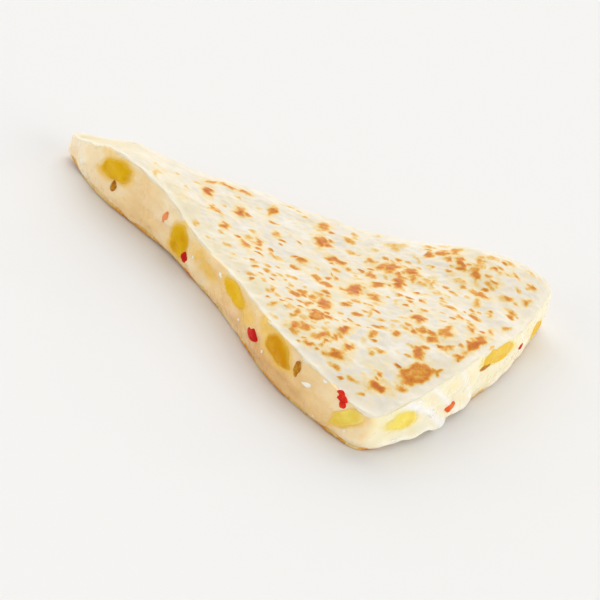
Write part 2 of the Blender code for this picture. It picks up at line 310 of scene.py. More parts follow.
def browning(x, y, spots, rings=()):
    """How browned the surface is: the strongest of soft-edged ovals, depth * exp(-ln2 distance^3).

    Each has a wide, weak halo, depth * 0.34 * exp(-(distance / 2)^2).  The places are first
    shifted by waves, which makes the ovals uneven.
    """
    here = np.stack((x, y), -1)
    x = x / MM + 0.32 * waves(here, 5 * MM, 1.6 * MM, 11, 60)
    y = y / MM + 0.32 * waves(here, 5 * MM, 1.6 * MM, 12, 60)
    heat = np.zeros(x.shape)
    for px, py, length, width, turn, depth in spots:
        near = np.abs(x - px) + np.abs(y - py) < 3.2 * max(length, width)
        if not near.any():
            continue
        dx, dy = x[near] - px, y[near] - py
        c, s = math.cos(math.radians(turn)), math.sin(math.radians(turn))
        far = np.hypot((dx * c + dy * s) / length, (dy * c - dx * s) / width) * 2 / SPREAD
        spot = np.maximum(depth * np.exp2(-(far**3)), 0.34 * depth * np.exp(-((far / 2.0) ** 2)))
        heat[near] = np.maximum(heat[near], spot)
    for px, py, length, width, turn, depth in rings:
        c, s = math.cos(math.radians(turn)), math.sin(math.radians(turn))
        dx, dy = x - px, y - py
        far = np.hypot((dx * c + dy * s) / length, (dy * c - dx * s) / width) * 2 / SPREAD
        ring = depth * (0.66 * np.exp2(-(far**4)) + 0.35 * np.exp(-(((far - 0.8) / 0.22) ** 2)))
        heat = np.maximum(heat, ring)
    return heat


def crowding(x, y, crowds, evenly):
    """Share of the places that carry a small browned fleck."""
    share = np.full(x.shape, evenly)
    for px, py, spread, amount in crowds:
        share += amount * np.exp(-((x / MM - px) ** 2 + (y / MM - py) ** 2) / (2 * spread**2))
    return share


# ---------------------------------------------------------------- materials
def srgb(red, green, blue):
    """A linear colour with alpha from display values of 0 to 255."""
    def linear(value):
        value /= 255
        return value / 12.92 if value <= 0.04045 else ((value + 0.055) / 1.055) ** 2.4
    return (linear(red), linear(green), linear(blue), 1.0)


class Finish:
    """A procedural material, built up node by node around one Principled shader."""

    def __init__(self, name, **constants):
        self.material = bpy.data.materials.new(name)
        self.material.use_nodes = True
        self.tree = self.material.node_tree
        self.shader = self.tree.nodes["Principled BSDF"]
        for socket, value in constants.items():
            self.shader.inputs[socket.replace("_", " ")].default_value = value
        self.coords = self.add("ShaderNodeTexCoord").outputs["Object"]

    def add(self, kind, **settings):
        node = self.tree.nodes.new(kind)
        for name, value in settings.items():
            setattr(node, name, value)
        return node

    def link(self, source, target):
        self.tree.links.new(source, target)

    def noise(self, size, detail=2.0, rough=0.5, stretch=None):
        """Noise with features of about the given size in metres."""
        node = self.add("ShaderNodeTexNoise")
        node.inputs["Scale"].default_value = 1 / size
        node.inputs["Detail"].default_value = detail
        node.inputs["Roughness"].default_value = rough
        source = self.coords
        if stretch:
            mapping = self.add("ShaderNodeMapping")
            mapping.inputs["Scale"].default_value = stretch
            self.link(source, mapping.inputs["Vector"])
            source = mapping.outputs["Vector"]
        self.link(source, node.inputs["Vector"])
        return node.outputs["Fac"]

    def field(self, name):
        """A value stored on the mesh."""
        return self.add("ShaderNodeAttribute", attribute_name=name).outputs["Fac"]

    def math(self, operation, a, b=0.0, clamp=False):
        node = self.add("ShaderNodeMath", operation=operation, use_clamp=clamp)
        for socket, value in zip(node.inputs, (a, b)):
            if isinstance(value, (int, float)):
                socket.default_value = value
            else:
                self.link(value, socket)
        return node.outputs[0]

    def spread(self, value, low, high, new_low=0.0, new_high=1.0):
        """Stretch the range low..high of a value to new_low..new_high, clamped."""
        node = self.add("ShaderNodeMapRange", interpolation_type="SMOOTHSTEP")
        self.link(value, node.inputs["Value"])
        for socket, number in zip(("From Min", "From Max", "To Min", "To Max"),
                                  (low, high, new_low, new_high)):
            node.inputs[socket].default_value = number
        return node.outputs["Result"]

    def ramp(self, value, stops):
        """A colour for each value, from (position, colour) stops."""
        node = self.add("ShaderNodeValToRGB")
        elements = node.color_ramp.elements
        while len(elements) < len(stops):
            elements.new(0.5)
        for element, (position, colour) in zip(elements, stops):
            element.position = position
            element.color = colour
        self.link(value, node.inputs["Fac"])
        return node.outputs["Color"]

    def mix(self, share, first, second, blend="MIX"):
        node = self.add("ShaderNodeMix", data_type="RGBA", blend_type=blend)
        for socket, value in ((node.inputs[0], share), (node.inputs[6], first), (node.inputs[7], second)):
            if isinstance(value, (int, float, tuple)):
                socket.default_value = value
            else:
                self.link(value, socket)
        return node.outputs[2]

    def flecks(self, cell, small, large, share, turn, stretch):
        """Scattered soft-edged flecks, seen from above: 1 at the middle of the deepest, 0 outside.

        One fleck lies in each cell of a random net; its radius runs from small to large cells,
        and only a share of the cells have one.
        """
        wander = self.add("ShaderNodeTexNoise")
        wander.inputs["Scale"].default_value = 0.9 / cell
        wander.inputs["Detail"].default_value = 2.0
        self.link(self.coords, wander.inputs["Vector"])
        moved = self.add("ShaderNodeVectorMath", operation="MULTIPLY_ADD")
        self.link(wander.outputs["Color"], moved.inputs[0])
        moved.inputs[1].default_value = (0.7 * cell,) * 3
        self.link(self.coords, moved.inputs[2])
        mapping = self.add("ShaderNodeMapping")
        mapping.inputs["Rotation"].default_value = (0, 0, math.radians(turn))
        mapping.inputs["Scale"].default_value = (1 / cell, stretch / cell, 1)
        self.link(moved.outputs[0], mapping.inputs["Vector"])
        net = self.add("ShaderNodeTexVoronoi", voronoi_dimensions="2D")
        net.inputs["Scale"].default_value = 1.0
        self.link(mapping.outputs["Vector"], net.inputs["Vector"])
        luck = self.add("ShaderNodeSeparateColor")
        self.link(net.outputs["Color"], luck.inputs["Color"])
        here = self.spread(self.math("SUBTRACT", share, luck.outputs["Red"]), -0.02, 0.12)
        radius = self.math("ADD", self.math("MULTIPLY", luck.outputs["Green"], large - small), small)
        soft = self.spread(self.math("DIVIDE", net.outputs["Distance"], radius), 0.20, 1.55, 1.0, 0.0)
        deep = self.math("ADD", self.math("MULTIPLY", luck.outputs["Blue"], 0.55), 0.45)
        return self.math("MULTIPLY", self.math("MULTIPLY", soft, deep), here)

    def bump(self, *layers):
        """Fine relief from (height value, depth in metres) layers, laid on each other."""
        normal = None
        for value, depth in layers:
            node = self.add("ShaderNodeBump")
            node.inputs["Strength"].default_value = 1.0
            node.inputs["Distance"].default_value = depth
            self.link(value, node.inputs["Height"])
            if normal:
                self.link(normal, node.inputs["Normal"])
            normal = node.outputs["Normal"]
        self.link(normal, self.shader.inputs["Normal"])

    def colour(self, value):
        self.link(value, self.shader.inputs["Base Color"])

    def roughness(self, value):
        self.link(value, self.shader.inputs["Roughness"])


def tortilla_finish():
    """Cream flour tortilla, mottled, with golden-brown griddle flecks in pale yellow haloes.

    Large spots come from the mesh's browning field; small flecks are cells scattered at random,
    of random size and depth, and only as many of them show as the crowd field says.
    """
    f = Finish("griddled_flour_tortilla", Subsurface_Weight=0.03, Subsurface_Scale=0.001,
               Subsurface_Radius=(1.0, 0.8, 0.6), Specular_IOR_Level=0.35)
    base = f.ramp(f.spread(f.noise(7 * MM, 4.0, 0.6), 0.32, 0.68),
                  [(0.0, srgb(223, 215, 201)), (0.5, srgb(230, 221, 205)), (1.0, srgb(236, 229, 217))])
    crowd = f.field("crowd")
    haze = f.spread(f.noise(2.6 * MM, 3.0, 0.6), 0.46, 0.70, 0.0, 0.70)
    base = f.mix(f.math("MULTIPLY", haze, f.spread(crowd, 0.0, 0.4, 0.7, 1.4)), base, srgb(237, 219, 176))
    base = f.mix(f.field("grease"), base, srgb(229, 214, 170))
    base = f.mix(f.field("cut"), base, srgb(243, 233, 211))
    flecks = f.math("MAXIMUM", f.flecks(4.6 * MM, 0.22, 0.42, crowd, 25, 1.5),
                    f.flecks(3.2 * MM, 0.22, 0.42, crowd, 70, 1.4))
    burn = f.math("MAXIMUM", f.field("browning"), f.math("MULTIPLY", flecks, 0.85))
    ragged = f.math("SUBTRACT", f.noise(1.1 * MM, 3.0, 0.6), 0.5)
    grain = f.math("SUBTRACT", f.noise(0.4 * MM, 2.0, 0.6), 0.5)
    shake = f.math("ADD", f.math("MULTIPLY", ragged, 0.80), f.math("MULTIPLY", grain, 0.40))
    burn = f.math("ADD", burn, f.math("MULTIPLY", shake, f.spread(burn, 0.03, 0.40)))
    crust = f.ramp(burn, [
        (0.10, srgb(236, 219, 180)), (0.22, srgb(234, 209, 155)), (0.34, srgb(231, 197, 126)),
        (0.45, srgb(228, 178, 86)), (0.55, srgb(222, 156, 52)), (0.70, srgb(212, 130, 24)),
        (1.00, srgb(192, 96, 6)),
    ])
    f.colour(f.mix(f.spread(burn, 0.03, 0.20), base, crust))
    f.roughness(f.spread(f.noise(2 * MM), 0.3, 0.7, 0.50, 0.68))
    f.bump((f.noise(0.5 * MM, 3.0, 0.6), 0.08 * MM), (f.noise(2.2 * MM, 2.0), 0.14 * MM),
           (flecks, 0.10 * MM))
    return f.material


def cheese_finish():
    """Soft melted cheese: cream to warm butter, satin, soaked gold in places and round the chile, with near-white
    painted sheen on the pulled folds and lips.
    """
    f = Finish("melted_cheese", Subsurface_Weight=0.25, Subsurface_Scale=0.0015,
               Subsurface_Radius=(1.0, 0.75, 0.5), Specular_IOR_Level=0.4, Coat_Weight=0.25,
               Coat_Roughness=0.16)
    patchy = f.math("MULTIPLY", f.math("SUBTRACT", f.noise(7 * MM, 3.0, 0.55, stretch=(1.0, 1.0, 1.5)), 0.5), 1.3)
    # The tone field is the cheese's cream-to-tan colour; in some places it also carries painted sheen and painted
    # shade.
    tone = f.math("ADD", f.field("tone"), patchy)
    warm = f.ramp(f.math("MULTIPLY", tone, 0.67), [
        (0.0, srgb(255, 238, 208)), (0.23, srgb(254, 227, 182)), (0.40, srgb(251, 218, 162)),
        (0.67, srgb(243, 204, 140)), (1.0, srgb(222, 172, 104)),
    ])
    pale = f.ramp(tone, [(0.2, srgb(255, 244, 212)), (0.5, srgb(255, 239, 194)), (0.8, srgb(252, 231, 172))])
    base = f.mix(f.field("paleness"), warm, pale)
    base = f.mix(f.spread(f.noise(5 * MM, 2.0), 0.52, 0.72, 0.0, 0.35), base, srgb(252, 222, 190))
    smudge = f.math("MULTIPLY", f.math("SUBTRACT", f.noise(1.8 * MM, 3.0), 0.5),
                    f.spread(f.field("gold"), 0.05, 0.5, 0.0, 0.8))
    gold = f.spread(f.math("ADD", f.field("gold"), smudge), 0.05, 1.0)
    base = f.mix(gold, base, f.mix(f.field("paleness"), srgb(246, 200, 92), srgb(250, 228, 124)))
    # Painted highlight: near-white colour laid over the pulled folds and the lips of the cheese, standing in for
    # sheen on wet cheese.
    base = f.mix(f.field("painted_sheen"), base, srgb(255, 252, 245))
    f.colour(base)
    f.roughness(f.spread(f.noise(3 * MM), 0.35, 0.65, 0.22, 0.42))
    f.bump((f.noise(0.9 * MM, 2.0), 0.04 * MM), (f.noise(3 * MM, 1.0), 0.12 * MM))
    return f.material


def chile_finish():
    """Cooked green chile: golden olive to pale yellow-green flesh, wet and glossy."""
    f = Finish("green_chile", Specular_IOR_Level=0.06, Coat_Weight=0.03, Coat_Roughness=0.08)
    tone = f.math("ADD", f.math("MULTIPLY", f.math("SUBTRACT", f.noise(4 * MM, 2.0, 0.5), 0.5), 0.6),
                  f.field("paleness"))
    flesh = f.ramp(tone, [
        (0.0, srgb(214, 146, 0)), (0.25, srgb(228, 178, 4)), (0.50, srgb(240, 188, 34)),
        (0.75, srgb(242, 208, 84)), (1.0, srgb(253, 234, 116)),
    ])
    edge = f.mix(f.spread(f.field("paleness"), 0.6, 1.0), srgb(240, 194, 92), srgb(252, 236, 160))
    f.colour(f.mix(f.field("skin"), flesh, edge))
    f.roughness(f.spread(f.noise(1.5 * MM), 0.35, 0.65, 0.20, 0.38))
    f.bump((f.noise(1.4 * MM, 2.0, 0.5), 0.06 * MM))
    return f.material


def red_finish():
    """Bright red pepper with a wet skin."""
    f = Finish("red_pepper", Coat_Weight=0.04, Coat_Roughness=0.1, Specular_IOR_Level=0.10)
    tone = f.math("ADD", f.math("MULTIPLY", f.math("SUBTRACT", f.noise(1.2 * MM, 2.0), 0.5), 0.8), f.field("tone"))
    f.colour(f.ramp(tone, [
        (0.0, srgb(196, 10, 2)), (0.3, srgb(232, 48, 24)), (0.6, srgb(240, 104, 30)), (1.0, srgb(244, 156, 96)),
    ]))
    f.roughness(f.spread(f.noise(0.8 * MM), 0.35, 0.65, 0.3, 0.5))
    return f.material


def fleck_finish():
    """Toasted brown flecks."""
    f = Finish("brown_fleck", Specular_IOR_Level=0.1)
    f.colour(f.ramp(f.noise(0.8 * MM, 2.0), [(0.35, srgb(168, 98, 8)), (0.65, srgb(206, 146, 40))]))
    f.roughness(f.spread(f.noise(0.8 * MM), 0.35, 0.65, 0.35, 0.55))
    return f.material


def painted_glint_finish():
    """White, glossy beads shaped like milk fat that stand in for glints: painted highlights."""
    f = Finish("painted_glint_white", Coat_Weight=0.8, Coat_Roughness=0.05, Specular_IOR_Level=0.7)
    f.colour(f.ramp(f.noise(0.8 * MM, 1.0), [(0.3, srgb(255, 246, 228)), (0.7, srgb(255, 252, 244))]))
    f.roughness(f.spread(f.noise(1 * MM), 0.35, 0.65, 0.10, 0.2))
    return f.material


TORTILLA_LOOK = tortilla_finish()
CHEESE_LOOK = cheese_finish()
CHILE_LOOK = chile_finish()
RED_LOOK = red_finish()
FLECK_LOOK = fleck_finish()
PAINTED_GLINT_LOOK = painted_glint_finish()


# ---------------------------------------------------------------- tortillas
def sheet_rows(count, steps, power=0.6):
    """Points of the ring grid from the middle to the rim, with their distance in from the rim."""
    rim, out = rim_at(np.arange(steps) / steps)
    share = (np.arange(1, count + 1) / count)[:, None, None] ** power
    flat = MIDDLE + share * (rim - MIDDLE)
    return rim, out, flat, ((rim - flat) * out).sum(axis=-1)


def top_tortilla():
    """The upper tortilla.

    Rows run from the middle out over the top: the smooth height, less a drop at the rim, plus
    waves, and a low blister under each browned spot.  They then go round the cut edge, a half
    round profile with waves in it, and back in under the tortilla.
    """
    steps, count = 640, 124
    rim, out, flat, inward = sheet_rows(count, steps)
    x, y = flat[..., 0], flat[..., 1]
    quiet = smoothstep(14 * MM, 38 * MM, x) * smoothstep(0.5 * MM, 3.5 * MM, inward)
    brown = browning(x, y, MAIN_SPOTS, RING_SPOTS) * smoothstep(0, 2 * MM, inward)
    crowd = crowding(x, y, CROWDS, 0.10) * quiet
    relief = 0.16 * MM * waves(flat, 16 * MM, 5 * MM, 1) + 0.05 * MM * waves(flat, 4 * MM, 1.4 * MM, 2, 90)
    blister = 0.22 * MM * np.minimum(brown, 0.8)
    z = height(x, y) - RIM_DROP * np.exp(-((inward / RIM_ROUND) ** 2)) + relief + blister
    top = np.dstack((flat, z[..., None]))

    wobble = 0.13 * MM * waves(np.column_stack((rim, rim[:, 0] * 0)), 9 * MM, 1.5 * MM, 3, 80)
    upper, under = z[-1], height(rim[:, 0], rim[:, 1]) - TORTILLA
    side = []
    for turn in np.linspace(12, 168, 9):
        swell = 0.25 * MM * math.sin(math.radians(turn)) ** 0.7
        share = 0.5 * (1 - math.cos(math.radians(turn)))
        xy = rim + (swell + wobble * math.sin(math.radians(turn)))[..., None] * out
        side.append(np.column_stack((xy, upper + share * (under - upper))))
    side = np.array(side)
    inner = (np.linspace(1, 0, 9)[1:-1] ** 1.0)[:, None, None]
    below = MIDDLE + inner * (rim - MIDDLE)
    below = np.dstack((below, (height(below[..., 0], below[..., 1]) - TORTILLA)[..., None]))
    loops = np.concatenate((top, side, below))

    rows = len(loops)
    cut = np.zeros((rows, steps))
    cut[:count] = 0.6 * np.exp(-((inward / (1.6 * MM)) ** 2))
    cut[count:count + len(side)] = 0.9
    grease = np.tile(0.3 * (1 - smoothstep(0.5, 0.9, out[:, 0])), (rows, 1))
    front = -(y * math.cos(HALF_ANGLE) + x * math.sin(HALF_ANGLE))
    front_edge = np.exp(-((front + 1 * MM) / (7 * MM)) ** 2) * np.exp(-(((x - 52 * MM) / (30 * MM)) ** 2))
    patches = smoothstep(0.4, 1.8, waves(flat, 22 * MM, 8 * MM, 5))
    tip = 0.7 * (1 - smoothstep(8 * MM, 34 * MM, x))
    grease[:count] = np.clip(np.maximum(0.45 * front_edge, tip) + 0.35 * patches, 0, 1)
    on_top = [np.zeros((rows, steps)) for _ in range(2)]
    on_top[0][:count], on_top[1][:count] = brown, crowd
    piece = shell("top_tortilla", loops, TORTILLA_LOOK,
                  {"browning": on_top[0], "crowd": on_top[1], "grease": grease, "cut": cut}, "tortilla")
    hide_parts("tortilla_top")


def bottom_tortilla():
    """The lower tortilla: flat underneath with its own browned spots, and a toasted cut edge."""
    steps, count = 560, 60
    rim, out, flat, inward = sheet_rows(count, steps)
    x, y = flat[..., 0], flat[..., 1]
    crowds = ((60, 6, 16, 0.4), (95, -15, 14, 0.45), (104, 20, 12, 0.4), (40, -4, 10, 0.3))
    crowd = crowding(x, y, crowds, 0.15) * smoothstep(0, 3 * MM, inward)
    brown = 0.75 * np.exp(-(((waves(flat, 26 * MM, 9 * MM, 6) - 1.7) / 0.7) ** 2))
    z_under = lift(x, y)
    round_under = 0.15 * MM * np.exp(-((inward / (1.2 * MM)) ** 2))
    under = np.dstack((flat, (z_under + round_under)[..., None]))[::-1]

    inner = np.linspace(0, 1, 9)[1:-1][:, None, None]
    over = MIDDLE + inner * (rim - MIDDLE)
    over = np.dstack((over, (lift(over[..., 0], over[..., 1]) + TORTILLA)[..., None]))
    low = under[0][:, 2]
    high = lift(rim[:, 0], rim[:, 1]) + TORTILLA
    wobble = 0.15 * MM * waves(np.column_stack((rim, rim[:, 0] * 0)), 10 * MM, 1.5 * MM, 7, 80)
    side = []
    for turn in np.linspace(15, 165, 8):
        swell = 0.25 * MM * math.sin(math.radians(turn)) ** 0.7
        share = 0.5 * (1 - math.cos(math.radians(turn)))
        xy = rim + (swell + wobble * math.sin(math.radians(turn)))[..., None] * out
        side.append(np.column_stack((xy, high + share * (low - high))))
    side = np.array(side)
    loops = np.concatenate((over, side, under))

    rows = len(loops)
    cut, toast = np.zeros((rows, steps)), np.zeros((rows, steps))
    start = len(over)
    cut[start:start + len(side)] = 0.8
    toasted = 0.50 + 0.14 * waves(np.column_stack((rim, rim[:, 0] * 0)), 14 * MM, 3 * MM, 8)
    fall = np.linspace(0, 1, len(side))[:, None]
    toast[start:start + len(side)] = np.clip(toasted, 0.2, 0.8) * fall**0.35
    toast[start + len(side):] = np.maximum(brown[::-1], np.clip(toasted, 0.1, 0.8)
                                           * np.exp(-((inward[::-1] / (1.6 * MM)) ** 2)))
    flecked = np.zeros((rows, steps))
    flecked[start + len(side):] = crowd[::-1]
    piece = shell("bottom_tortilla", loops, TORTILLA_LOOK,
                  {"browning": toast, "crowd": flecked, "grease": cut * 0, "cut": cut}, "tortilla")
    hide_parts("tortilla_bottom")


# ---------------------------------------------------------------- filling
# Chunks of chile: edge, place along it, width along it and depth into the wedge in mm, then the
# middle, the size and the slant up through the filling as shares of its depth, how far it leans
# and narrows upwards, and paleness
CHILES = (
    ("front", 0.188, 11.4, 9.0, 0.69, 0.52, -0.09, 0.00, -0.04, 0.24),
    ("front", 0.392, 7.2, 9.0, 0.54, 0.86, 0.00, -0.05, 0.25, 0.22),
    ("front", 0.594, 11.4, 9.0, 0.77, 0.38, 0.08, 0.05, 0.05, 0.48),
    ("front", 0.774, 11.4, 10.0, 0.70, 0.58, 0.00, 0.05, 0.05, 0.04),
    ("front", 0.958, 7.0, 6.0, 0.60, 0.54, -0.26, 0.00, 0.05, 0.80),
    ("outer", 0.126, 11.0, 8.0, 0.60, 0.50, 0.10, 0.00, 0.05, 0.92),
    ("outer", 0.545, 18.0, 9.0, 0.85, 0.40, 0.04, 0.00, 0.10, 0.60),
    ("outer", 0.840, 9.0, 8.0, 0.42, 0.60, 0.05, 0.10, 0.10, 0.55),
    ("back", 0.240, 11.0, 9.0, 0.52, 0.56, 0.00, 0.15, 0.15, 0.15),
    ("back", 0.550, 9.0, 8.0, 0.48, 0.60, 0.05, -0.15, 0.10, 0.30),
    ("back", 0.840, 13.0, 10.0, 0.56, 0.62, -0.05, 0.10, 0.20, 0.10),
)
CHILE_SEAT = 1.6 * MM
CHILE_PROUD = 0.25 * MM
BOXY = 2.3
# Golden, oil-soaked stretches of the cheese: edge, middle along and up, half width along and up,
# strength
SOAKED = (
    ("front", 0.150, 0.92, 0.040, 0.25, 0.50), ("front", 0.460, 0.75, 0.045, 0.30, 0.75),
    ("front", 0.495, 0.58, 0.030, 0.25, 1.20),
    ("front", 0.545, 0.60, 0.035, 0.30, 0.55), ("front", 0.655, 0.62, 0.035, 0.28, 0.85),
    ("front", 0.722, 0.86, 0.024, 0.22, 1.40), ("front", 0.810, 0.55, 0.040, 0.30, 0.30),
    ("front", 0.710, 0.30, 0.060, 0.20, 0.25), ("front", 1.000, 0.85, 0.030, 0.25, 0.35),
    ("front", 0.310, 0.35, 0.050, 0.35, 0.20), ("outer", 0.100, 0.75, 0.080, 0.25, 0.35),
    ("back", 0.350, 0.70, 0.080, 0.40, 0.50), ("back", 0.700, 0.80, 0.060, 0.40, 0.50),
)
# Tone of the cheese along each edge, from 0, cream, to 1, tan
TONES = {
    "front": ((0.00, 0.30), (0.14, 0.35), (0.24, 0.62), (0.34, 0.60), (0.47, 0.60), (0.60, 0.78),
              (0.80, 0.85), (0.92, 0.70), (1.00, 0.25)),
    "outer": ((0.00, 0.45), (0.10, 0.30), (0.50, 0.30), (1.00, 0.45)),
    "back": ((0.00, 0.35), (0.30, 0.60), (0.70, 0.65), (1.00, 0.45)),
}
# Paler and darker places in the cheese: edge, middle along and up, half width along and up, change. The narrow
# pale places on the front at 0.08, 0.37, 0.445 and 0.48 along are painted sheen, and the tan places low on the
# front from 0.62 to 0.84 along are partly tan cheese and partly painted shade.
PATCHES = (
    ("front", 0.080, 0.45, 0.025, 0.30, -0.35), ("front", 0.295, 0.25, 0.030, 0.25, 0.25),
    ("front", 0.480, 0.25, 0.030, 0.20, -0.25), ("front", 0.445, 0.55, 0.012, 0.20, -0.45),
    ("front", 0.370, 0.50, 0.010, 0.18, -0.45), ("front", 0.915, 0.85, 0.030, 0.20, -0.20),
    ("front", 0.890, 0.25, 0.040, 0.20, 0.15), ("outer", 0.285, 0.50, 0.030, 0.40, 0.20),
    ("front", 0.620, 0.22, 0.045, 0.25, 0.50), ("front", 0.715, 0.22, 0.060, 0.28, 0.75),
    ("front", 0.780, 0.35, 0.040, 0.25, 0.45), ("front", 0.835, 0.22, 0.040, 0.25, 0.50),
    ("front", 0.345, 0.62, 0.025, 0.30, -0.40), ("front", 0.235, 0.85, 0.030, 0.25, -0.30),
)
# Pulled folds of cheese from top to bottom: edge, place along, width and height out in mm, lean, and how strongly
# near-white painted sheen lies on the fold
FOLDS = (
    ("outer", 0.222, 4.6, 0.8, -0.50, 0.95), ("outer", 0.300, 2.6, 0.4, -0.40, 0.75),
    ("outer", 0.395, 2.4, 0.3, -0.30, 0.55), ("outer", 0.720, 4.0, 0.4, -0.25, 0.12),
    ("back", 0.620, 4.5, 0.5, 0.20, 0.12), ("back", 0.120, 3.0, 0.4, 0.15, 0.08),
)
# Lips of cheese that have run out at the bottom: edge, place along, half width in mm, height out in mm
LIPS = (
    ("outer", 0.12, 6.0, 1.3), ("outer", 0.24, 7.0, 2.0), ("outer", 0.38, 5.0, 1.2),
    ("outer", 0.62, 6.0, 0.6), ("back", 0.45, 6.0, 0.6),
)


def by_place(edge, along, rim):
    """How far points lie along an edge from a place on it, and whether they are on that edge."""
    spot, facing = edge_point(edge, along)
    run = np.array((facing[1], -facing[0]))
    return (rim - spot) @ run, np.abs((rim - spot) @ facing) < 5 * MM


def filling_floor(x, y, around):
    """Lower edge of the cheese's side, which laps down over the cut edge of the lower tortilla."""
    lap = 0.42 + 0.22 * waves(girth_line(around), 16 * MM, 4 * MM, 61)
    return lift(x, y) + TORTILLA * (1 - np.clip(lap, 0.1, 0.95))


def filling_roof(x, y, around):
    """Upper edge of the cheese's side, which laps up over the cut edge of the upper tortilla."""
    rim, out = rim_at(around)
    at_arc = smoothstep(0.6, 0.95, out[..., 0])
    at_back = smoothstep(0.4, 0.8, out[..., 1])
    lap = 0.78 - 0.42 * at_arc - 0.30 * at_back + 0.14 * waves(girth_line(around), 14 * MM, 4 * MM, 62)
    return height(x, y) - RIM_DROP - (TORTILLA - RIM_DROP) * (1 - np.clip(lap, 0.1, 0.88))


def girth_line(around):
    """Outline points in space, for waves that run along the edge."""
    rim, _ = rim_at(around)
    return np.concatenate((rim, 0 * rim[..., :1]), axis=-1)


def pit_table():
    """Small pits in the cut cheese: share of the girth, share of the depth, radius, depth."""
    rng = np.random.default_rng(31)
    return [(rng.uniform(), rng.uniform(0.12, 0.80), rng.uniform(0.7, 1.6) * MM,
             rng.uniform(0.08, 0.22) * MM) for _ in range(40)]


PITS = pit_table()


def chunk_frame(number):
    """A chunk's middle on the edge, with the directions along and out of the edge."""
    edge, along = CHILES[number][:2]
    centre, facing = edge_point(edge, along)
    return centre, np.array((facing[1], -facing[0])), facing


def from_chunk(number, rim, up):
    """How far out from a chunk's middle points of the side lie: 1 is the chunk's own outline."""
    _, _, wide, _, middle, tall, slant, lean, narrow, _ = CHILES[number]
    centre, run, facing = chunk_frame(number)
    side = (rim - centre) @ run / (wide * MM / 2)
    rise = (up - middle - slant * side) / (tall / 2)
    side = (side - lean * rise) / np.clip(1 - narrow * rise, 0.3, 2)
    far = (np.abs(side) ** BOXY + np.abs(rise) ** BOXY) ** (1 / BOXY)
    far = far / outline_waves(number, np.arctan2(rise, side))
    return np.where(np.abs((rim - centre) @ facing) < 5 * MM, far, 9.0)


def outline_waves(number, angle):
    """Uneven outline of a chunk: 1 plus waves round its middle."""
    circle = np.stack((np.cos(angle), np.sin(angle)), -1)
    return 1 + 0.06 * waves(circle, 2.6, 0.7, 100 + number, 24)


def cheese_reach(around, up, sunk=True):
    """How far the cheese's side stands out of the outline.

    It bulges between the tortillas, with slow waves, small pits and pulled strands, and it sinks
    behind each chunk of chile.
    """
    rim, out = rim_at(around)
    x, y = rim[..., 0], rim[..., 1]
    low, high = filling_floor(x, y, around), filling_roof(x, y, around)
    z = low + up * (high - low)
    point = np.stack((x, y, z), -1)
    open_up = np.clip(up, 0, 1)
    swell = np.sin(math.pi * open_up) ** 0.6
    reach = 0.25 * MM + 0.20 * MM * swell + FILLING_BULGE * swell * 0.8
    calm = 1 - 0.65 * smoothstep(0.5, 0.9, out[..., 0])
    reach = reach + calm * (0.25 + 0.75 * swell) * (
        0.30 * MM * waves(point * (1, 1, 1.6), 14 * MM, 5 * MM, 41)
        + 0.05 * MM * waves(point, 4 * MM, 1.6 * MM, 42, 60))
    for a, t, radius, depth in PITS:
        spot, _ = rim_at(a)
        middle = filling_floor(*spot, a) + t * (filling_roof(*spot, a) - filling_floor(*spot, a))
        far = ((x - spot[0]) ** 2 + (y - spot[1]) ** 2 + (z - middle) ** 2) / radius**2
        reach = reach - depth * np.exp(-(far**1.5))
    for edge, along, wide, proud, lean, _ in FOLDS:
        aside, close = by_place(edge, along, rim)
        far = (aside + lean * 30 * MM * (up - 0.5)) / (wide * MM / 2)
        reach = reach + close * proud * MM * np.exp(-(far**2)) * (0.5 + 0.5 * swell)
    for edge, along, wide, proud in LIPS:
        aside, close = by_place(edge, along, rim)
        reach = reach + close * proud * MM * np.exp(-((aside / (wide * MM)) ** 4) - ((up - 0.06) / 0.13) ** 2)
    if sunk:
        for number in range(len(CHILES)):
            reach = reach - 0.9 * MM * (1 - smoothstep(0.55, 0.95, from_chunk(number, rim, up)))
    return reach


def filling_side(around, up, sunk=True):
    """Points on the outside of the filling at shares of the girth and of the depth."""
    rim, out = rim_at(around)
    x, y = rim[..., 0], rim[..., 1]
    low, high = filling_floor(x, y, around), filling_roof(x, y, around)
    z = low + up * (high - low)
    reach = cheese_reach(around, up, sunk)
    return np.concatenate((rim + reach[..., None] * out, z[..., None]), axis=-1)


def tone_along(rim):
    """Tone of the cheese at points of the outline: that of the edge that is nearest to each."""
    tone, nearest = np.zeros(len(rim)), np.full(len(rim), np.inf)
    for edge, table in TONES.items():
        along = np.linspace(0, 1, 400)
        point, _ = edge_point(edge, along)
        far = np.linalg.norm(rim[:, None] - point, axis=-1)
        first = far.argmin(axis=1)
        least = far[np.arange(len(rim)), first]
        here = np.interp(along[first], *zip(*table))
        tone = np.where(least < nearest, here, tone)
        nearest = np.minimum(nearest, least)
    return tone


